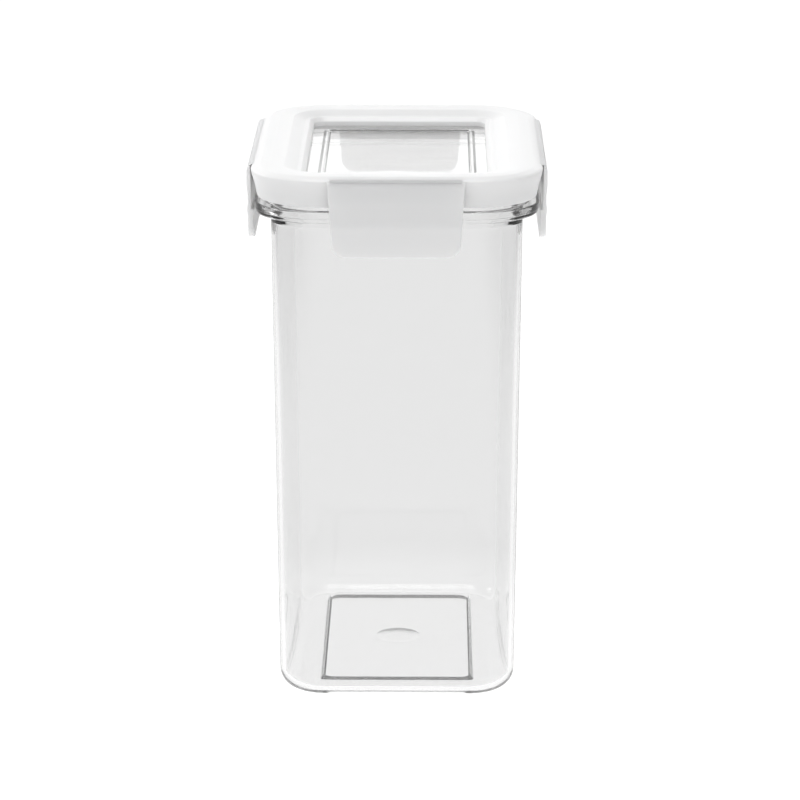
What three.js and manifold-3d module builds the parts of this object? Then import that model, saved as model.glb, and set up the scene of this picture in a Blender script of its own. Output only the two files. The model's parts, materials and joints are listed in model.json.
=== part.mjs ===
// A tall clip-lock food canister: a clear, tapered, rectangular canister with a flanged mouth, closed by
// a white lid with a clear window, a silicone gasket and four latches that hang from the lid's edge.
// Millimetres, +Z up. The origin is the centre of the foot, X runs across the narrow side, -Y is the front.
//
// Nearly every outline is one rounded rectangle offset in or out. An outline is named by its half width
// in X. Its half width in Y is LONGER more, and its corner radius is whatever lies beyond the flat sides.
import * as THREE from 'three';
import { mergeVertices } from 'three/addons/utils/BufferGeometryUtils.js';
import Module from 'manifold-3d';

const wasm = await Module();
wasm.setup();

// ---- Driving dimensions ----
const WIDTH = 110; // across the side latches
const DEPTH = 150; // across the front and back latches
const HEIGHT = 200; // foot to lid rim
const LONGER = (DEPTH - WIDTH) / 2; // how much further every outline reaches in Y than in X
const FLAT_HALF = 27; // half length of every outline's flat side in X, up to where its corner starts
const CORNER_STEPS = 9; // facets in one rounded corner

const FOOT_HALF = 44; // canister wall outside, at the foot
const MOUTH_HALF = 46; // canister wall outside, under the flange
const WALL = 2;
const FOOT_FILLET = 7;
const INNER_FILLET = 5;
const FLOOR = 2.4;
const PANEL_HALF = 28; // the pushed-up panel in the middle of the base
const PANEL_FLAT = 23.8;
const PANEL_LONGER = 23; // the panel's own LONGER
const PANEL_RISE = 1.7;
const PANEL_STEP = 0.8; // how much smaller the panel is underneath
const GATE_RADIUS = 8.5; // round mark in the middle of the base panel
const GATE_DEPTH = 0.35;

const FLANGE_HALF = 52; // the ledge that the latches hook under
const FLANGE_BOTTOM = 182.8;
const FLANGE_TOP = 187.1;
const COLLAR_OUTSIDE = 48.2; // the rim above the flange, which the gasket seals on
const COLLAR_INSIDE = 45.8;
const COLLAR_TOP = 194.2;

const LID_HALF = 53.2; // lid frame at its rim
const SKIRT_HALF = 50.9; // lid frame at the bottom of its skirt
const SKIRT_BOTTOM = 188.7;
const RIM_FLAT_HALF = 46; // the rim is flat out from here, and falls a little towards the recess
const RIM_INNER_HALF = 40.9; // the rim ends here, and the stacking recess begins
const RIM_FALL = 0.4;
const RECESS_HALF = 36.4;
const RECESS_DEPTH = 2;
const WINDOW_HALF = 33.2; // the opening in the lid frame, with tighter corners than the rest
const WINDOW_FLAT = 28.6;
const WINDOW_BEVEL = 1.6; // round the top of that opening
const PLUG_OUTSIDE = 45.3; // the wall that locates the lid inside the collar
const PLUG_INSIDE = 43.5;
const PLUG_BOTTOM = 190;
const CHANNEL_CEILING = 198; // the gasket's channel, between plug and skirt
const PANE_TOP = 194.3;
const PANE_THICKNESS = 2;
const WELL_HALF = 27.3; // the sunk middle of the pane
const WELL_FLAT = 25.5;
const WELL_DEPTH = 0.6;

const HINGE_HALF = 54; // axis of the living hinges
const HINGE_Z = 198.2;
const LATCH_BOTTOM = 171;
const LATCH_TAPER = 1.7; // how much narrower each side of a latch is at its bottom
const LATCH_CORNER = 5;
const FRONT_LATCH_HALF = 24.9; // half length of the front and back latches, at the hinge
const SIDE_LATCH_HALF = FRONT_LATCH_HALF + LONGER; // and of the side latches
const GAP = 0.3; // between pieces that touch
const HOOK_GAP = 0.2; // between a latch's hook and the flange's edge

// ---- Materials ----
const clearPlastic = new THREE.MeshStandardMaterial({
  color: 0xeef2f2, roughness: 0.06, metalness: 0, transparent: true, opacity: 0.3,
});
const whitePlastic = new THREE.MeshStandardMaterial({ color: 0xf4f4f2, roughness: 0.35, metalness: 0 });
const silicone = new THREE.MeshStandardMaterial({ color: 0xe6e8e6, roughness: 0.6, metalness: 0 });

// ---- Shape tools ----

// A rounded rectangle, anticlockwise from the right-hand end of its front side.
function outline(half, flat = FLAT_HALF, longer = LONGER) {
  const radius = half - flat;
  const path = new THREE.Path();
  const corners = [[1, -1, -90], [1, 1, 0], [-1, 1, 90], [-1, -1, 180]];
  for (const [sx, sy, start] of corners) {
    const from = THREE.MathUtils.degToRad(start);
    path.absarc(sx * flat, sy * (flat + longer), radius, from, from + Math.PI / 2, false);
  }
  const points = path.getPoints(CORNER_STEPS);
  return points.filter((p, i) => i === 0 || p.distanceTo(points[i - 1]) > 1e-6);
}

// A closed geometry from indexed triangles.
function closedGeometry(positions, triangles) {
  const geometry = new THREE.BufferGeometry();
  geometry.setAttribute('position', new THREE.Float32BufferAttribute(positions, 3));
  geometry.setIndex(triangles);
  return geometry;
}

// Skins a profile of [half, z, flat, longer] round the rounded rectangle. A ring's profile closes on itself.
// Without ring, the first and last outlines are capped instead.
function sweep(profile, ring = true) {
  const loops = profile.map(([half, z, flat, longer]) => outline(half, flat, longer).map((p) => [p.x, p.y, z]));
  const count = loops[0].length;
  const positions = loops.flat(2);
  const triangles = [];
  const spans = ring ? loops.length : loops.length - 1;
  for (let i = 0; i < spans; i++) {
    const a = i * count;
    const b = ((i + 1) % loops.length) * count;
    for (let j = 0; j < count; j++) {
      const k = (j + 1) % count;
      triangles.push(a + j, a + k, b + k, a + j, b + k, b + j);
    }
  }
  if (!ring) {
    const last = (loops.length - 1) * count;
    for (let j = 1; j < count - 1; j++) {
      triangles.push(0, j + 1, j);
      triangles.push(last, last + j, last + j + 1);
    }
  }
  return closedGeometry(positions, triangles);
}

// three.js geometry to manifold-3d solid, and back.
function toSolid(geometry) {
  const bare = geometry.clone();
  bare.deleteAttribute('normal');
  bare.deleteAttribute('uv');
  const merged = mergeVertices(bare, 1e-4);
  return new wasm.Manifold(new wasm.Mesh({
    numProp: 3,
    vertProperties: merged.attributes.position.array,
    triVerts: new Uint32Array(merged.index.array),
  }));
}

function fromSolid(solid) {
  const mesh = solid.getMesh();
  return closedGeometry(Array.from(mesh.vertProperties), Array.from(mesh.triVerts));
}

function named(name, geometry, material) {
  geometry.computeVertexNormals();
  const mesh = new THREE.Mesh(geometry, material);
  mesh.name = name;
  return mesh;
}

// Points of a quarter round from one angle to another, in degrees, as [half, z] pairs.
function quarter(half, z, radius, from, to, steps = 4) {
  const points = [];
  for (let i = 0; i <= steps; i++) {
    const angle = THREE.MathUtils.degToRad(from + ((to - from) * i) / steps);
    points.push([half + radius * Math.cos(angle), z + radius * Math.sin(angle)]);
  }
  return points;
}

// ---- Canister ----

// The wall leans out from FOOT_HALF to MOUTH_HALF. This is its outside at a height.
const wallHalf = (z) => FOOT_HALF + ((MOUTH_HALF - FOOT_HALF) * z) / FLANGE_BOTTOM;

function canister() {
  const lipDrop = 1.7; // the flange's lower lip
  const lipStep = 0.5; // and how far it is set back
  const outside = sweep([
    ...quarter(FOOT_HALF - FOOT_FILLET, FOOT_FILLET, FOOT_FILLET, -90, 0),
    [wallHalf(FLANGE_BOTTOM), FLANGE_BOTTOM],
    [FLANGE_HALF - lipStep, FLANGE_BOTTOM],
    [FLANGE_HALF - lipStep, FLANGE_BOTTOM + lipDrop],
    [FLANGE_HALF, FLANGE_BOTTOM + lipDrop],
    [FLANGE_HALF, FLANGE_TOP],
    [COLLAR_OUTSIDE, FLANGE_TOP],
    [COLLAR_OUTSIDE, COLLAR_TOP],
  ], false);
  const widensFrom = 178.5; // the bore opens out here, to meet the collar
  const widensTo = 183;
  const bore = sweep([
    ...quarter(FOOT_HALF - WALL - INNER_FILLET, FLOOR + INNER_FILLET, INNER_FILLET, -90, 0),
    [wallHalf(widensFrom) - WALL, widensFrom],
    [COLLAR_INSIDE, widensTo],
    [COLLAR_INSIDE, COLLAR_TOP + 1],
  ], false);
  const panelInside = sweep([
    [PANEL_HALF, FLOOR - 1, PANEL_FLAT, PANEL_LONGER],
    [PANEL_HALF, FLOOR + PANEL_RISE, PANEL_FLAT, PANEL_LONGER],
  ], false);
  const panelUnder = sweep([
    [PANEL_HALF - PANEL_STEP, -1, PANEL_FLAT - PANEL_STEP, PANEL_LONGER],
    [PANEL_HALF - PANEL_STEP, PANEL_RISE, PANEL_FLAT - PANEL_STEP, PANEL_LONGER],
  ], false);
  const gate = new THREE.CylinderGeometry(GATE_RADIUS, GATE_RADIUS, 2 * GATE_DEPTH, 32);
  gate.rotateX(Math.PI / 2);
  gate.translate(0, 0, PANEL_RISE);
  const solid = toSolid(outside)
    .subtract(toSolid(bore))
    .add(toSolid(panelInside))
    .subtract(toSolid(panelUnder))
    .subtract(toSolid(gate));
  return named('canister', fromSolid(solid), clearPlastic);
}

// ---- Lid ----

function lidFrame() {
  const seatZ = PANE_TOP + GAP; // the frame rests on the pane here
  return named('lid_frame', sweep([
    [SKIRT_HALF, SKIRT_BOTTOM],
    [SKIRT_HALF + 1, 193.5],
    [LID_HALF - 0.3, 197],
    [LID_HALF, 198.5],
    [LID_HALF - 0.8, 199.2],
    [LID_HALF - 3.2, HEIGHT],
    [RIM_FLAT_HALF, HEIGHT],
    [RIM_INNER_HALF, HEIGHT - RIM_FALL],
    [(RIM_INNER_HALF + RECESS_HALF) / 2, HEIGHT - (RIM_FALL + RECESS_DEPTH) / 2],
    [RECESS_HALF, HEIGHT - RECESS_DEPTH],
    [WINDOW_HALF + WINDOW_BEVEL, HEIGHT - RECESS_DEPTH - 0.1, WINDOW_FLAT],
    [WINDOW_HALF, HEIGHT - RECESS_DEPTH - 0.1 - WINDOW_BEVEL, WINDOW_FLAT],
    [WINDOW_HALF, seatZ, WINDOW_FLAT],
    [WINDOW_HALF + 2.4, seatZ],
    [WINDOW_HALF + 3, 196.8],
    [RIM_INNER_HALF, CHANNEL_CEILING - 0.1],
    [PLUG_INSIDE, CHANNEL_CEILING - 0.1],
    [PLUG_INSIDE, PLUG_BOTTOM],
    [PLUG_OUTSIDE, PLUG_BOTTOM],
    [PLUG_OUTSIDE, CHANNEL_CEILING],
    [49.4, CHANNEL_CEILING],
    [SKIRT_HALF - 1.9, SKIRT_BOTTOM],
  ]), whitePlastic);
}

// The pane fills the lid inside the plug wall, under the frame, and its middle is sunk.
function lidWindow() {
  const under = PANE_TOP - PANE_THICKNESS;
  const edge = PLUG_INSIDE - GAP;
  const slope = 0.8;
  const plate = sweep([[edge, under], [edge, PANE_TOP]], false);
  const sunkUnder = sweep([
    [WELL_HALF + PANE_THICKNESS / 2, under - WELL_DEPTH, WELL_FLAT],
    [WELL_HALF + PANE_THICKNESS / 2 + slope, under + 0.5, WELL_FLAT],
  ], false);
  const well = sweep([
    [WELL_HALF - slope, PANE_TOP - WELL_DEPTH, WELL_FLAT],
    [WELL_HALF, PANE_TOP, WELL_FLAT],
    [WELL_HALF, PANE_TOP + 1, WELL_FLAT],
  ], false);
  const solid = toSolid(plate).add(toSolid(sunkUnder)).subtract(toSolid(well));
  return named('lid_window', fromSolid(solid), clearPlastic);
}

// A silicone ring in the channel between plug and skirt. Its underside has a groove between two lips.
function lidGasket() {
  const inside = PLUG_OUTSIDE + GAP;
  const outside = 48.9;
  const middle = (inside + outside) / 2;
  const bottom = COLLAR_TOP + GAP;
  const top = CHANNEL_CEILING - GAP;
  return named('lid_gasket', sweep([
    [inside, bottom],
    [middle - 0.4, bottom],
    [middle, bottom + 0.7],
    [middle + 0.4, bottom],
    [outside, bottom],
    [outside - 0.2, top],
    [inside, top],
  ]), silicone);
}

// ---- Latches ----

// A latch's cross-section: half width outwards against height. It hangs from the hinge at its top.
// The hook on its inner side ends just outside the flange, so that the lid can slide straight up.
function latchSection() {
  const hookTip = FLANGE_HALF + HOOK_GAP;
  const hookTop = FLANGE_BOTTOM - 0.4;
  const bulge = WIDTH / 2;
  return new THREE.Shape([
    [53.55, 198], [53.55, 196.9], [53.4, 190], // inner side, down to the hook
    [53.25, hookTop], [hookTip, hookTop], [hookTip, hookTop - 1.2], [hookTip + 0.3, hookTop - 2],
    [hookTip + 0.3, 176], [hookTip, 174.5], [hookTip, LATCH_BOTTOM + 0.4], [hookTip + 0.4, LATCH_BOTTOM],
    [bulge - 0.8, LATCH_BOTTOM], [bulge - 0.35, LATCH_BOTTOM + 0.5], // outer side, up over two waves
    [bulge - 0.35, 179.2], [bulge - 0.1, 182.2], [bulge - 0.35, 184.4], [bulge - 0.35, 187.8],
    [bulge - 0.08, 190.6], [bulge, 192.8], [bulge - 0.05, 196],
    [bulge - 0.3, 198.1], [54.3, 198.6], [53.75, 198.55],
  ].map(([half, z]) => new THREE.Vector2(half, z)));
}

// A latch seen square on: straight top, sides that draw in, round lower corners.
function latchFace(topHalf) {
  const low = topHalf - LATCH_TAPER;
  const top = HINGE_Z + 1; // above the section's own top
  const face = new THREE.Shape();
  face.moveTo(topHalf, top);
  face.lineTo(-topHalf, top);
  face.lineTo(-low, LATCH_BOTTOM + LATCH_CORNER);
  face.absarc(-low + LATCH_CORNER, LATCH_BOTTOM + LATCH_CORNER, LATCH_CORNER, Math.PI, 1.5 * Math.PI, false);
  face.absarc(low - LATCH_CORNER, LATCH_BOTTOM + LATCH_CORNER, LATCH_CORNER, 1.5 * Math.PI, 2 * Math.PI, false);
  face.closePath();
  return face;
}

// The latch is made at the front, facing -Y, as the section swept in X and cut to the face's outline.
function latchGeometry(topHalf, reach) {
  const length = 2 * topHalf + 2;
  const bar = new THREE.ExtrudeGeometry(latchSection(), { depth: length, bevelEnabled: false });
  bar.applyMatrix4(new THREE.Matrix4().set(
    0, 0, -1, length / 2,
    -1, 0, 0, -reach,
    0, 1, 0, 0,
    0, 0, 0, 1,
  ));
  const thick = 8;
  const blank = new THREE.ExtrudeGeometry(latchFace(topHalf), {
    depth: thick, bevelEnabled: false, curveSegments: 6,
  });
  blank.rotateX(Math.PI / 2);
  blank.translate(0, -(WIDTH / 2 + reach) + thick - 2, 0);
  return fromSolid(toSolid(bar).intersect(toSolid(blank)));
}

// reach is how much further than WIDTH / 2 the latch's side of the lid stands from the centre.
function latch(name, turn, topHalf, reach) {
  const mesh = named(name, latchGeometry(topHalf, reach), whitePlastic);
  mesh.rotation.z = turn;
  return mesh;
}

// ---- Assembly ----
const part = new THREE.Group();
part.add(canister());

const lid = new THREE.Group();
lid.add(lidFrame(), lidWindow(), lidGasket());
lid.add(
  latch('latch_front', 0, FRONT_LATCH_HALF, LONGER),
  latch('latch_right', Math.PI / 2, SIDE_LATCH_HALF, 0),
  latch('latch_back', Math.PI, FRONT_LATCH_HALF, LONGER),
  latch('latch_left', -Math.PI / 2, SIDE_LATCH_HALF, 0),
);
part.add(lid);

export default part;
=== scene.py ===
"""A clip-lock food canister: clear canister and lid window, white lid with four latches, silicone gasket.

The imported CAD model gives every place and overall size. Each CAD node is replaced by a finer mesh of the
same shape, with its edges rounded, and the living hinges between lid and latches are added.
Profiles are in millimetres, as (half width in X, height), and meshes are scaled to metres.
"""

import json
import math

import bmesh
import bpy
from mathutils import Matrix, Vector


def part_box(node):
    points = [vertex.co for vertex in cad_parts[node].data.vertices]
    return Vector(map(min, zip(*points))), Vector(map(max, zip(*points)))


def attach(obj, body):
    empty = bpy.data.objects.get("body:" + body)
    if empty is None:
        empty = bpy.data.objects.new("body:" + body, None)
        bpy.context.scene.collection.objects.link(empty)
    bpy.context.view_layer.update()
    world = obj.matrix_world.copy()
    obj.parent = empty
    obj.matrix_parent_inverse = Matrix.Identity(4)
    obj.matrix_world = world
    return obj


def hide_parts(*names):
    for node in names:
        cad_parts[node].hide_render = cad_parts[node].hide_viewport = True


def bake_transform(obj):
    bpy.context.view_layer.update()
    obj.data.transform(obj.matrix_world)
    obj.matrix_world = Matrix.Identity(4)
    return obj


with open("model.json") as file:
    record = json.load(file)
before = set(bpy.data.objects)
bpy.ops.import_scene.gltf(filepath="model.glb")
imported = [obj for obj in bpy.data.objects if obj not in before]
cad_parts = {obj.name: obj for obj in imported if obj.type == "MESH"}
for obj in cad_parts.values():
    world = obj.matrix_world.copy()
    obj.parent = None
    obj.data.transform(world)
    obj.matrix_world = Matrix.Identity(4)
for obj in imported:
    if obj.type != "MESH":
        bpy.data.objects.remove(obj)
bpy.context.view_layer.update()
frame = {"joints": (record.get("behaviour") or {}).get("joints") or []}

MM = 0.001

# ---- Sizes read from the frame, in millimetres ----


def box_mm(node):
    """A CAD node's lowest and highest corners, in millimetres."""
    low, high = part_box(node)
    return low / MM, high / MM


canister_high = box_mm("canister")[1]
frame_low, frame_high = box_mm("lid_frame")
window_high = box_mm("lid_window")[1]
gasket_low, gasket_high = box_mm("lid_gasket")
latch_low, latch_high = box_mm("latch_front")
side_low, side_high = box_mm("latch_right")
joints = {joint["name"]: joint for joint in frame["joints"]}
hinge_at = Vector(joints["latch_right_hinge"]["pos_m"]) / MM

FLANGE_HALF = canister_high.x
COLLAR_TOP = canister_high.z
LONGER = canister_high.y - canister_high.x  # every outline reaches this much further in Y than in X
LID_HALF = frame_high.x
LID_TOP = frame_high.z
HINGE_HALF = hinge_at.x
HINGE_Z = hinge_at.z
LATCH_HALF = side_high.x
LATCH_TOP = latch_high.z
LATCH_BOTTOM = latch_low.z
PANE_HALF = window_high.x
PANE_TOP = window_high.z

# ---- Sizes inside the pieces, in millimetres ----

FLAT = 27  # outlines are straight up to here in X, and their corners are round beyond
FOOT_HALF = 44
MOUTH_HALF = 46
FLANGE_BOTTOM = 182.8
FLANGE_TOP = 187.1
WALL = 2
WALL_WIDENS = 179.4  # the wall's inside leans out from here up to the collar
COLLAR_FROM = 183.9
LIP_HEIGHT = 1.7  # the flange's lower lip
LIP_STEP = 0.5  # how much smaller the lip is than the flange
FOOT_FILLET = 7
INNER_FILLET = 5
FLOOR = 2.4
PANEL_HALF = 28
PANEL_FLAT = 23.8
PANEL_LONGER = 23  # the panel's own LONGER
PANEL_RISE = 1.7
PANEL_STEP = 0.8  # how much smaller the panel is underneath
GATE_RADIUS = 8.5
GATE_DEPTH = 0.35
COLLAR_OUTSIDE = 48.2
COLLAR_INSIDE = 45.8
PLUG_OUTSIDE = 45.3
PLUG_INSIDE = 43.5
PLUG_BOTTOM = 190
SKIRT_HALF = 50.9
SKIRT_THICKNESS = 1.9
CHANNEL_HALF = 49.4
CHANNEL_CEILING = 198
RIM_SLOPE = 3.2  # the rim slopes down to its edge over this width
RIM_EDGE_WIDTH = 0.8
RIM_EDGE_FALL = 0.75
RIM_FLAT_HALF = 46
RIM_INNER_HALF = 40.9
RIM_FALL = 0.4
RECESS_HALF = 36.4
RECESS_DEPTH = 2
GAP = 0.3  # round the pane's seat and the gasket
WINDOW_HALF = 33.2
WINDOW_FLAT = 28.6
WINDOW_BEVEL = 1.6
PANE_THICKNESS = 2
WELL_HALF = 27.3
WELL_FLAT = 25.5
WELL_DEPTH = 0.6
LATCH_TAPER = 1.7
LATCH_CORNER = 5
LATCH_EDGE = 0.5
LATCH_INNER_EDGE = 0.3
HOOK_GAP = 0.2  # between hook and flange
WEB_THICKNESS = 0.35
WEB_MARGIN = 1.2  # how much shorter than the latch the web is at each end
WEB_LIFT = 0.12
CORNER_STEPS = 20  # facets in one corner of an outline

# ---- Mesh tools ----


def outline(half, flat=FLAT, longer=LONGER):
    """Points of a rounded rectangle, anticlockwise. A circle has next to no flat and no extra length."""
    points = []
    for sx, sy, start in ((1, -1, -90), (1, 1, 0), (-1, 1, 90), (-1, -1, 180)):
        for step in range(CORNER_STEPS + 1):
            angle = math.radians(start + 90 * step / CORNER_STEPS)
            x = sx * flat + (half - flat) * math.cos(angle)
            y = sy * (flat + longer) + (half - flat) * math.sin(angle)
            points.append((x, y))
    return points


def circle(radius):
    """A circle with as many points as an outline."""
    return outline(radius, 0, 0)


def rounded(corners, closed=False, steps=4):
    """Rounds a profile. Each corner is (half, z, radius), with flat and longer if they aren't the usual."""
    points = []
    count = len(corners)
    for i, corner in enumerate(corners):
        here = Vector(corner[:2])
        radius = corner[2]
        flat, longer = (*corner[3:], *(FLAT, LONGER)[len(corner) - 3:])
        if radius == 0 or (not closed and i in (0, count - 1)):
            points.append((here.x, here.y, flat, longer))
            continue
        before, after = corners[i - 1], corners[(i + 1) % count]
        back = Vector(before[:2]) - here
        ahead = Vector(after[:2]) - here
        half_angle = back.angle(ahead) / 2
        # Two round corners share the edge between them. Beside a sharp corner, one has it to itself.
        edges = (back, before), (ahead, after)
        room = min(edge.length * (0.48 if other[2] else 0.98) for edge, other in edges)
        reach = min(radius / math.tan(half_angle), room)
        radius = reach * math.tan(half_angle)
        start = here + back.normalized() * reach
        end = here + ahead.normalized() * reach
        middle = (back.normalized() + ahead.normalized()).normalized()
        centre = here + middle * (radius / math.sin(half_angle))
        first = start - centre
        turn = first.angle_signed(end - centre)
        for step in range(steps + 1):
            angle = -turn * step / steps
            x = first.x * math.cos(angle) - first.y * math.sin(angle)
            z = first.x * math.sin(angle) + first.y * math.cos(angle)
            points.append((centre.x + x, centre.y + z, flat, longer))
    return points


def loops_round(profile):
    """A loop of 3-D points round the outline for each (half, z, flat, longer) of a rounded profile."""
    return [[(x, y, z) for x, y in outline(half, flat, longer)] for half, z, flat, longer in profile]


def skin(name, loops, closed=False):
    """A smooth mesh over loops of 3-D points in millimetres. The ends are capped unless the loops close."""
    mesh = bmesh.new()
    rows = [[mesh.verts.new(Vector(p) * MM) for p in loop] for loop in loops]
    count = len(rows[0])
    for i in range(len(rows) if closed else len(rows) - 1):
        near, far = rows[i], rows[(i + 1) % len(rows)]
        for j in range(count):
            k = (j + 1) % count
            mesh.faces.new((near[j], near[k], far[k], far[j]))
    if not closed:
        mesh.faces.new(reversed(rows[0]))
        mesh.faces.new(rows[-1])
    return finished(name, mesh)


def finished(name, mesh):
    """Merges coincident points, turns the faces outwards and shades them smooth, with flats kept flat."""
    bmesh.ops.remove_doubles(mesh, verts=mesh.verts, dist=1e-6)
    bmesh.ops.dissolve_degenerate(mesh, edges=mesh.edges, dist=1e-7)
    bmesh.ops.recalc_face_normals(mesh, faces=mesh.faces)
    for face in mesh.faces:
        face.smooth = True
    data = bpy.data.meshes.new(name)
    mesh.to_mesh(data)
    mesh.free()
    piece = bpy.data.objects.new(name, data)
    bpy.context.scene.collection.objects.link(piece)
    weighted = piece.modifiers.new("flats stay flat", "WEIGHTED_NORMAL")
    weighted.weight = 100
    weighted.keep_sharp = True
    return piece


def ring(name, corners):
    """A ring whose closed, rounded profile runs round the outline."""
    return skin(name, loops_round(rounded(corners, closed=True)), closed=True)


# ---- Materials ----


def new_material(name):
    """A material with an empty node tree."""
    material = bpy.data.materials.new(name)
    material.use_nodes = True
    nodes = material.node_tree.nodes
    nodes.clear()
    return material, nodes, material.node_tree.links


def add_bump(nodes, links, shader, scale, strength, distance, detail=2.0):
    """A fine unevenness of the surface, from noise over the piece."""
    place = nodes.new("ShaderNodeTexCoord")
    noise = nodes.new("ShaderNodeTexNoise")
    noise.inputs["Scale"].default_value = scale
    noise.inputs["Detail"].default_value = detail
    bump = nodes.new("ShaderNodeBump")
    bump.inputs["Strength"].default_value = strength
    bump.inputs["Distance"].default_value = distance
    links.new(place.outputs["Object"], noise.inputs["Vector"])
    links.new(noise.outputs["Fac"], bump.inputs["Height"])
    links.new(bump.outputs["Normal"], shader.inputs["Normal"])


def clear_plastic(name, colour, ior, density):
    """Polished clear plastic, a little uneven, that lets lamps through and is greyer the thicker it is."""
    material, nodes, links = new_material(name)
    shader = nodes.new("ShaderNodeBsdfPrincipled")
    shader.inputs["Base Color"].default_value = (*colour, 1)
    shader.inputs["Transmission Weight"].default_value = 1
    shader.inputs["Roughness"].default_value = 0.015
    shader.inputs["IOR"].default_value = ior
    add_bump(nodes, links, shader, 45, 0.12, 0.0004, 1.0)
    through = nodes.new("ShaderNodeBsdfTransparent")
    through.inputs["Color"].default_value = (*colour, 1)
    ray = nodes.new("ShaderNodeLightPath")
    mix = nodes.new("ShaderNodeMixShader")
    out = nodes.new("ShaderNodeOutputMaterial")
    links.new(ray.outputs["Is Shadow Ray"], mix.inputs["Fac"])
    links.new(shader.outputs["BSDF"], mix.inputs[1])
    links.new(through.outputs["BSDF"], mix.inputs[2])
    links.new(mix.outputs["Shader"], out.inputs["Surface"])
    depth = nodes.new("ShaderNodeVolumeAbsorption")
    depth.inputs["Color"].default_value = (0.2, 0.2, 0.2, 1)
    depth.inputs["Density"].default_value = density
    links.new(depth.outputs["Volume"], out.inputs["Volume"])
    return material


def moulded_plastic(name, colour, roughness, grain, translucency):
    """Opaque moulded plastic: a fine grain, slightly uneven gloss and a little light under the surface."""
    material, nodes, links = new_material(name)
    shader = nodes.new("ShaderNodeBsdfPrincipled")
    shader.inputs["Base Color"].default_value = (*colour, 1)
    shader.inputs["IOR"].default_value = 1.49
    shader.inputs["Subsurface Weight"].default_value = translucency
    shader.inputs["Subsurface Radius"].default_value = (0.004, 0.0039, 0.0038)
    shader.inputs["Subsurface Scale"].default_value = 1
    place = nodes.new("ShaderNodeTexCoord")
    cloud = nodes.new("ShaderNodeTexNoise")
    cloud.inputs["Scale"].default_value = 60
    cloud.inputs["Detail"].default_value = 3
    gloss = nodes.new("ShaderNodeMapRange")
    gloss.inputs["To Min"].default_value = roughness - 0.04
    gloss.inputs["To Max"].default_value = roughness + 0.04
    out = nodes.new("ShaderNodeOutputMaterial")
    links.new(place.outputs["Object"], cloud.inputs["Vector"])
    links.new(cloud.outputs["Fac"], gloss.inputs["Value"])
    links.new(gloss.outputs["Result"], shader.inputs["Roughness"])
    add_bump(nodes, links, shader, grain, 0.08, 0.00006)
    links.new(shader.outputs["BSDF"], out.inputs["Surface"])
    return material


CLEAR = clear_plastic("clear plastic", (0.84, 0.84, 0.84), 1.42, 9)
WINDOW = clear_plastic("window plastic", (0.95, 0.95, 0.95), 1.5, 9)
WHITE = moulded_plastic("white plastic", (0.88, 0.88, 0.88), 0.34, 2600, 0.65)
SILICONE = moulded_plastic("silicone", (0.82, 0.83, 0.82), 0.5, 1800, 0.35)


def dress(piece, material, body, node=None):
    """Gives a piece its material and its body, and hides the CAD node that it stands for."""
    piece.data.materials.append(material)
    if body:
        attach(piece, body)
    if node:
        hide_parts(node)
    return piece


# ---- Canister ----


def wall_half(z):
    """The wall leans out from foot to mouth. This is its outside at a height."""
    return FOOT_HALF + (MOUTH_HALF - FOOT_HALF) * z / FLANGE_BOTTOM


def gate_loops(z, depth, outwards):
    """Circles of the round mark in the base panel, from its middle to its rim or back."""
    loops = []
    for share in (0.06, 0.35, 0.6, 0.8, 0.92, 0.98, 1, 1.04):
        sunk = depth * max(0, 1 - share**3)
        loops.append([(x, y, z + sunk) for x, y in circle(GATE_RADIUS * share)])
    return loops if outwards else loops[::-1]


def make_canister():
    """One skin: out under the base, up the outside, over the collar, down the inside and over the floor."""
    lip_half = FLANGE_HALF - LIP_STEP
    lip_top = FLANGE_BOTTOM + LIP_HEIGHT
    recess_half = PANEL_HALF - PANEL_STEP
    recess_flat = PANEL_FLAT - PANEL_STEP
    underside = rounded([
        (recess_half - 4, PANEL_RISE, 0, recess_flat - 2, PANEL_LONGER),
        (recess_half, PANEL_RISE, 0.35, recess_flat, PANEL_LONGER),
        (recess_half + 0.1, 0, 0.6, recess_flat, PANEL_LONGER),
        (FOOT_HALF - FOOT_FILLET, 0, 0),
    ])
    outside = rounded([
        (FOOT_HALF - FOOT_FILLET, 0, 0),
        (FOOT_HALF, 0, FOOT_FILLET),
        (wall_half(FLANGE_BOTTOM), FLANGE_BOTTOM, 0.7),
        (lip_half, FLANGE_BOTTOM, 0.85),
        (lip_half, lip_top, 0.5),
        (FLANGE_HALF, lip_top, 0.25),
        (FLANGE_HALF, FLANGE_TOP, 0.6),
        (COLLAR_OUTSIDE, FLANGE_TOP, 0.35),
        (COLLAR_OUTSIDE, COLLAR_TOP, 0.7),
        (COLLAR_INSIDE, COLLAR_TOP, 0.7),
        (COLLAR_INSIDE, COLLAR_FROM, 3),
        (wall_half(WALL_WIDENS) - WALL, WALL_WIDENS, 4),
        (FOOT_HALF - WALL, FLOOR, INNER_FILLET),
        (PANEL_HALF + 0.3, FLOOR, 1, PANEL_FLAT, PANEL_LONGER),
        (PANEL_HALF, FLOOR + PANEL_RISE, 0.8, PANEL_FLAT, PANEL_LONGER),
        (PANEL_HALF - 4, FLOOR + PANEL_RISE, 0, PANEL_FLAT - 2, PANEL_LONGER),
    ], steps=8)
    loops = gate_loops(PANEL_RISE, GATE_DEPTH, outwards=True)
    loops += loops_round(underside[:-1] + outside)
    loops += gate_loops(FLOOR + PANEL_RISE, 0, outwards=False)
    dress(skin("canister_clear", loops), CLEAR, "canister", "canister")


# ---- Lid ----


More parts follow.
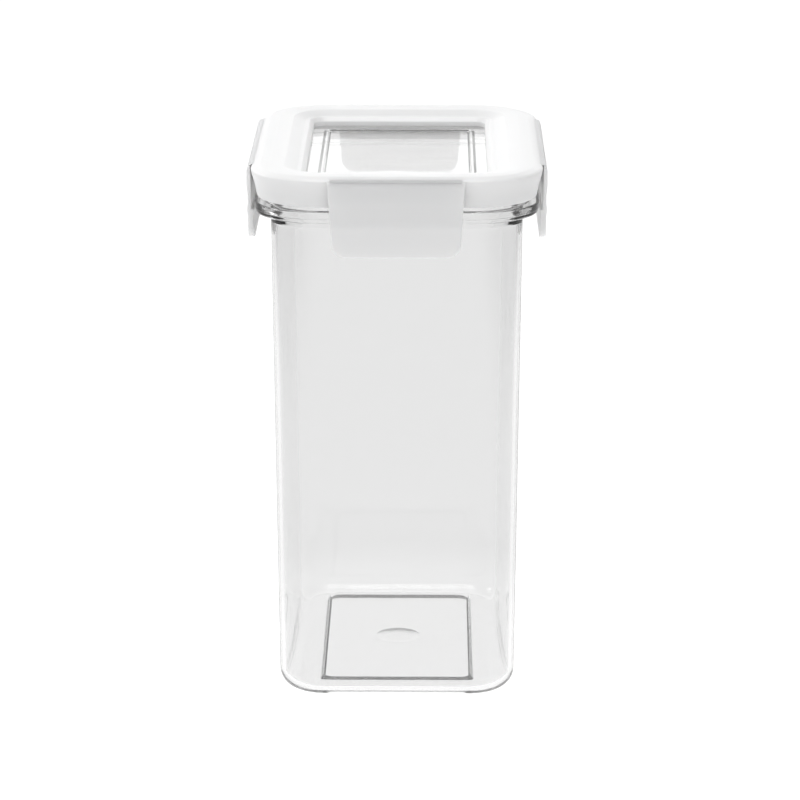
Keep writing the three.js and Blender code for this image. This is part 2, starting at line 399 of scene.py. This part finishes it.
def make_frame():
    """The white frame, as one closed ring: skirt, rim, recess, window opening, plug wall and channel."""
    seat = PANE_TOP + GAP
    recess = LID_TOP - RECESS_DEPTH
    skirt_bottom = frame_low.z
    dress(ring("lid_frame_moulding", [
        (SKIRT_HALF, skirt_bottom, 0.5),
        (SKIRT_HALF + 1, 193.5, 8),
        (LID_HALF - 0.3, 197, 4),
        (LID_HALF, 198.6, 0.7),
        (LID_HALF - RIM_EDGE_WIDTH, LID_TOP - RIM_EDGE_FALL, 1.5),
        (LID_HALF - RIM_SLOPE, LID_TOP, 4),
        (RIM_FLAT_HALF, LID_TOP, 9),
        (RIM_INNER_HALF, LID_TOP - RIM_FALL, 1.6),
        (RECESS_HALF, recess, 2.5),
        (WINDOW_HALF + WINDOW_BEVEL, recess - 0.1, 0.4, WINDOW_FLAT),
        (WINDOW_HALF, recess - 0.1 - WINDOW_BEVEL, 0.4, WINDOW_FLAT),
        (WINDOW_HALF, seat, 0.1, WINDOW_FLAT),
        (WINDOW_HALF + 2.4, seat, 0.1),
        (WINDOW_HALF + 3, 196.8, 0.5),
        (RIM_INNER_HALF, CHANNEL_CEILING - 0.1, 1),
        (PLUG_INSIDE, CHANNEL_CEILING - 0.1, 0.5),
        (PLUG_INSIDE, PLUG_BOTTOM, 0.5),
        (PLUG_OUTSIDE, PLUG_BOTTOM, 0.5),
        (PLUG_OUTSIDE, CHANNEL_CEILING, 0.4),
        (CHANNEL_HALF, CHANNEL_CEILING, 0.6),
        (SKIRT_HALF - SKIRT_THICKNESS, skirt_bottom, 0.5),
    ]), WHITE, "lid", "lid_frame")


def make_pane():
    """The clear pane, with a shallow well in its middle."""
    under = PANE_TOP - PANE_THICKNESS
    well_under = WELL_HALF + PANE_THICKNESS / 2
    pane = rounded([
        (WELL_HALF - 3, PANE_TOP - WELL_DEPTH, 0, WELL_FLAT - 2),
        (WELL_HALF - 0.8, PANE_TOP - WELL_DEPTH, 0.4, WELL_FLAT),
        (WELL_HALF, PANE_TOP, 0.4, WELL_FLAT),
        (PANE_HALF, PANE_TOP, 0.3),
        (PANE_HALF, under, 0.3),
        (well_under + 0.8, under, 0.4, WELL_FLAT),
        (well_under, under - WELL_DEPTH, 0.4, WELL_FLAT),
        (well_under - 3, under - WELL_DEPTH, 0, WELL_FLAT - 2),
    ])
    dress(skin("lid_window_pane", loops_round(pane)), WINDOW, "lid", "lid_window")


def make_gasket():
    """The silicone ring in the frame's channel, with a groove between its two lips."""
    inside = PLUG_OUTSIDE + GAP
    outside = gasket_high.x
    middle = (inside + outside) / 2
    dress(ring("lid_gasket_ring", [
        (inside, gasket_low.z, 0.3),
        (middle - 0.4, gasket_low.z, 0.3),
        (middle, gasket_low.z + 0.7, 0.3),
        (middle + 0.4, gasket_low.z, 0.3),
        (outside, gasket_low.z, 0.3),
        (outside - 0.2, gasket_high.z, 0.3),
        (inside, gasket_high.z, 0.3),
    ]), SILICONE, "lid", "lid_gasket")


# ---- Latches ----


def between(table, z):
    """A smooth curve through (z, value) pairs, which run upwards."""
    if z <= table[0][0]:
        return table[0][1]
    for (z0, v0), (z1, v1) in zip(table, table[1:]):
        if z <= z1:
            share = (z - z0) / (z1 - z0)
            share = share * share * (3 - 2 * share)
            return v0 + (v1 - v0) * share
    return table[-1][1]


# How far a latch's outer side lies inside its furthest point, at each height: two waves and a plain grip.
OUTER = [(171, 0.4), (179.2, 0.37), (182.2, 0.1), (184.6, 0.37), (187.4, 0.36), (191.6, 0), (196.5, 0.04),
         (198.7, 0.6)]
HOOK_TOP = FLANGE_BOTTOM - 0.4
HOOK_TIP = FLANGE_HALF + HOOK_GAP


def outer_half(z):
    """The outer side, two waves down to a plain grip."""
    return LATCH_HALF - between(OUTER, z)


def inner_half(z):
    """The inner side: plain at the top, then the hook rib, a hollow, and the thick grip at the bottom."""
    return between([
        (174.5, HOOK_TIP), (176, HOOK_TIP + 0.3), (HOOK_TOP - 2, HOOK_TIP + 0.3), (HOOK_TOP - 1.2, HOOK_TIP),
        (HOOK_TOP - 0.1, HOOK_TIP),
        (HOOK_TOP, 53.25), (190, 53.4), (196.9, 53.55),
    ], z)


def roll(inset, radius):
    """How far a rounded edge has fallen away at this distance in from its border."""
    if inset >= radius:
        return 0
    return radius - math.sqrt(radius**2 - (radius - inset) ** 2)


def latch_border(top_half, inset):
    """One side of the latch's outline, from its top to its bottom, as (distance along, z)."""
    low = top_half - LATCH_TAPER
    corner_z = LATCH_BOTTOM + LATCH_CORNER
    straight_top = HINGE_Z + 1
    heights = [LATCH_TOP - inset]
    rows = 44
    heights += [LATCH_TOP - 0.9 - (LATCH_TOP - 0.9 - corner_z) * i / rows for i in range(rows)]
    heights += [HOOK_TOP, HOOK_TOP - 0.1]
    side = []
    for z in sorted(heights, reverse=True):
        share = (z - corner_z) / (straight_top - corner_z)
        side.append((low + LATCH_TAPER * share - inset, z))
    radius = LATCH_CORNER - inset
    arc_steps = 12
    for i in range(arc_steps + 1):
        angle = math.radians(-90 * i / arc_steps)
        side.append((low - LATCH_CORNER + radius * math.cos(angle), corner_z + radius * math.sin(angle)))
    return side


def latch_loop(top_half, inset, surface, fall):
    """A loop round the latch at this inset, as (along, half, z), left side down and right side up."""
    side = latch_border(top_half, inset)
    left = [(-along, surface(z) + fall, z) for along, z in side]
    right = [(along, surface(z) + fall, z) for along, z in reversed(side)]
    return left + right


def at_side(point, turn, reach):
    """A point (along, half, z) of the front latch or web, turned to its own side of the lid, in metres."""
    along, half, z = point
    return Matrix.Rotation(turn, 3, "Z") @ Vector((along, -half - reach, z)) * MM


def strip(mesh, loops, turn, reach):
    """Joins loops of (along, half, z) points into a tube in the mesh, and returns their vertices."""
    rows = [[mesh.verts.new(at_side(point, turn, reach)) for point in loop] for loop in loops]
    count = len(rows[0])
    for near, far in zip(rows, rows[1:]):
        for j in range(count):
            k = (j + 1) % count
            mesh.faces.new((near[j], near[k], far[k], far[j]))
    return rows


def make_latch(side, turn, top_half, reach):
    """reach is how much further out than the side latches this latch stands."""
    loops = []
    for share in (1, 0.65, 0.38, 0.17, 0.05, 0):
        inset = LATCH_EDGE * share
        loops.append(latch_loop(top_half, inset, outer_half, -roll(inset, LATCH_EDGE)))
    for share in (0, 0.1, 0.4, 1):
        inset = LATCH_INNER_EDGE * share
        loops.append(latch_loop(top_half, inset, inner_half, roll(inset, LATCH_INNER_EDGE)))
    mesh = bmesh.new()
    rows = strip(mesh, loops, turn, reach)
    count = len(rows[0])
    for row in (rows[0], rows[-1]):
        for j in range(count // 2 - 1):
            mesh.faces.new((row[j], row[j + 1], row[count - 2 - j], row[count - 1 - j]))
    piece = finished(f"latch_{side}_moulding", mesh)
    dress(piece, WHITE, f"latch_{side}", f"latch_{side}")


def make_web(side, turn, top_half, reach):
    """The living hinge: a thin strip from the lid's edge to the latch's top, which bends between them."""
    start = Vector((LID_HALF - 1.4, HINGE_Z + 0.95))
    end = Vector((HINGE_HALF + 0.35, HINGE_Z + 0.25))
    steps = 10
    upper, lower = [], []
    for i in range(steps + 1):
        share = i / steps
        middle = start.lerp(end, share)
        lift = WEB_LIFT * math.sin(math.pi * share)
        upper.append((middle.x, middle.y + lift + WEB_THICKNESS / 2))
        lower.append((middle.x, middle.y + lift - WEB_THICKNESS / 2))
    section = lower + upper[::-1]
    length = top_half - WEB_MARGIN
    mesh = bmesh.new()
    rows = strip(mesh, [[(x, half, z) for half, z in section] for x in (-length, length)], turn, reach)
    mesh.faces.new(reversed(rows[0]))
    mesh.faces.new(rows[1])
    piece = finished(f"hinge_web_{side}", mesh)
    dress(piece, WHITE, None)
    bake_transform(piece)


def make_latches():
    front_half = latch_high.x
    side_half = side_high.y
    reach = -latch_low.y - LATCH_HALF
    for side, turn, top_half, out in (
        ("front", 0, front_half, reach),
        ("right", math.pi / 2, side_half, 0),
        ("back", math.pi, front_half, reach),
        ("left", -math.pi / 2, side_half, 0),
    ):
        make_latch(side, turn, top_half, out)
        make_web(side, turn, top_half, out)


# ---- Stage, light and camera ----


def fade(nodes, links, value, reach, levels):
    """A level that runs softly from the first to the second as the value crosses its reach."""
    level = nodes.new("ShaderNodeMapRange")
    level.interpolation_type = "SMOOTHSTEP"
    level.inputs["From Min"].default_value, level.inputs["From Max"].default_value = reach
    level.inputs["To Min"].default_value, level.inputs["To Max"].default_value = levels
    links.new(value, level.inputs["Value"])
    return level.outputs["Result"]


def maths(nodes, links, operation, *values):
    """One Math node over one or two sockets."""
    node = nodes.new("ShaderNodeMath")
    node.operation = operation
    for value, socket in zip(values, node.inputs):
        links.new(value, socket)
    return node.outputs["Value"]


def make_stage():
    """A white table that runs far past the view, lit from below, with a painted pool of light under the
    canister, and darker at the far left and right.
    """
    bpy.ops.mesh.primitive_plane_add(size=16, location=(0, 0, -0.0002))
    floor = bpy.context.object
    floor.name = "floor"
    material, nodes, links = new_material("white table")
    shader = nodes.new("ShaderNodeBsdfPrincipled")
    shader.inputs["Base Color"].default_value = (0.16, 0.16, 0.16, 1)
    shader.inputs["Roughness"].default_value = 0.9
    shader.inputs["Specular IOR Level"].default_value = 0
    shader.inputs["Emission Color"].default_value = (1, 1, 1, 1)
    place = nodes.new("ShaderNodeTexCoord")
    split = nodes.new("ShaderNodeSeparateXYZ")
    away = nodes.new("ShaderNodeVectorMath")
    away.operation = "LENGTH"
    out = nodes.new("ShaderNodeOutputMaterial")
    links.new(place.outputs["Object"], split.inputs["Vector"])
    links.new(place.outputs["Object"], away.inputs[0])
    aside = maths(nodes, links, "ABSOLUTE", split.outputs["X"])
    boards = fade(nodes, links, aside, (0.3, 0.7), (1, 0.45))
    # painted pool of light: the table glows brighter under the canister, within 0.07 to 0.14 m of its middle
    middle = fade(nodes, links, away.outputs["Value"], (0.07, 0.14), (1.13, 1))
    links.new(maths(nodes, links, "MULTIPLY", boards, middle), shader.inputs["Emission Strength"])
    links.new(shader.outputs["BSDF"], out.inputs["Surface"])
    floor.data.materials.append(material)
    make_sky()
    softbox("overhead softbox", 0.8, (-0.1, -0.25, 1.5), 10.3)
    softbox("side softbox", 0.7, (-1.3, 0.7, 0.8), 7)


def make_sky():
    """A backdrop, brightest low down and behind, between darker boards and under a dim ceiling."""
    world = bpy.data.worlds.new("studio")
    bpy.context.scene.world = world
    world.use_nodes = True
    nodes, links = world.node_tree.nodes, world.node_tree.links
    place = nodes.new("ShaderNodeTexCoord")
    split = nodes.new("ShaderNodeSeparateXYZ")
    links.new(place.outputs["Generated"], split.inputs["Vector"])
    low, high = math.sin(math.radians(22)), math.sin(math.radians(40))
    ceiling = fade(nodes, links, split.outputs["Z"], (low, high), (0.85, 0.35))
    behind = fade(nodes, links, split.outputs["Y"], (-0.7, 0.9), (0.82, 1.5))
    aside = maths(nodes, links, "ABSOLUTE", split.outputs["X"])
    boards = fade(nodes, links, aside, (0.35, 0.75), (1, 0.5))
    level = maths(nodes, links, "MULTIPLY", maths(nodes, links, "MULTIPLY", ceiling, behind), boards)
    links.new(level, nodes["Background"].inputs["Strength"])
    nodes["Background"].inputs["Color"].default_value = (1, 1, 1, 1)


def softbox(name, size, location, power):
    """A square lamp that faces the middle of the canister."""
    light = bpy.data.lights.new(name, "AREA")
    light.shape = "SQUARE"
    light.size = size
    light.energy = power
    lamp = bpy.data.objects.new(name, light)
    lamp.location = location
    lamp.rotation_euler = (Vector((0, 0, 0.1)) - Vector(location)).to_track_quat("-Z", "Y").to_euler()
    bpy.context.scene.collection.objects.link(lamp)


def make_camera():
    """A long lens from a little above, almost square to the front."""
    camera = bpy.data.cameras.new("camera")
    camera.sensor_width = 36
    camera.lens = 164.45
    camera.clip_end = 50
    eye = bpy.data.objects.new("camera", camera)
    eye.location = (0.01328, -1.35173, 0.46621)
    eye.rotation_euler = (math.radians(90 - 15.231), 0, math.radians(0.533))
    bpy.context.scene.collection.objects.link(eye)
    bpy.context.scene.camera = eye


scene = bpy.context.scene
scene.view_settings.view_transform = "Standard"
scene.cycles.max_bounces = 64
scene.cycles.transmission_bounces = 64
scene.cycles.glossy_bounces = 64  # light trapped in the clear walls
scene.cycles.transparent_max_bounces = 24
scene.cycles.caustics_reflective = False
scene.cycles.caustics_refractive = True

make_canister()
make_frame()
make_pane()
make_gasket()
make_latches()
make_stage()
make_camera()
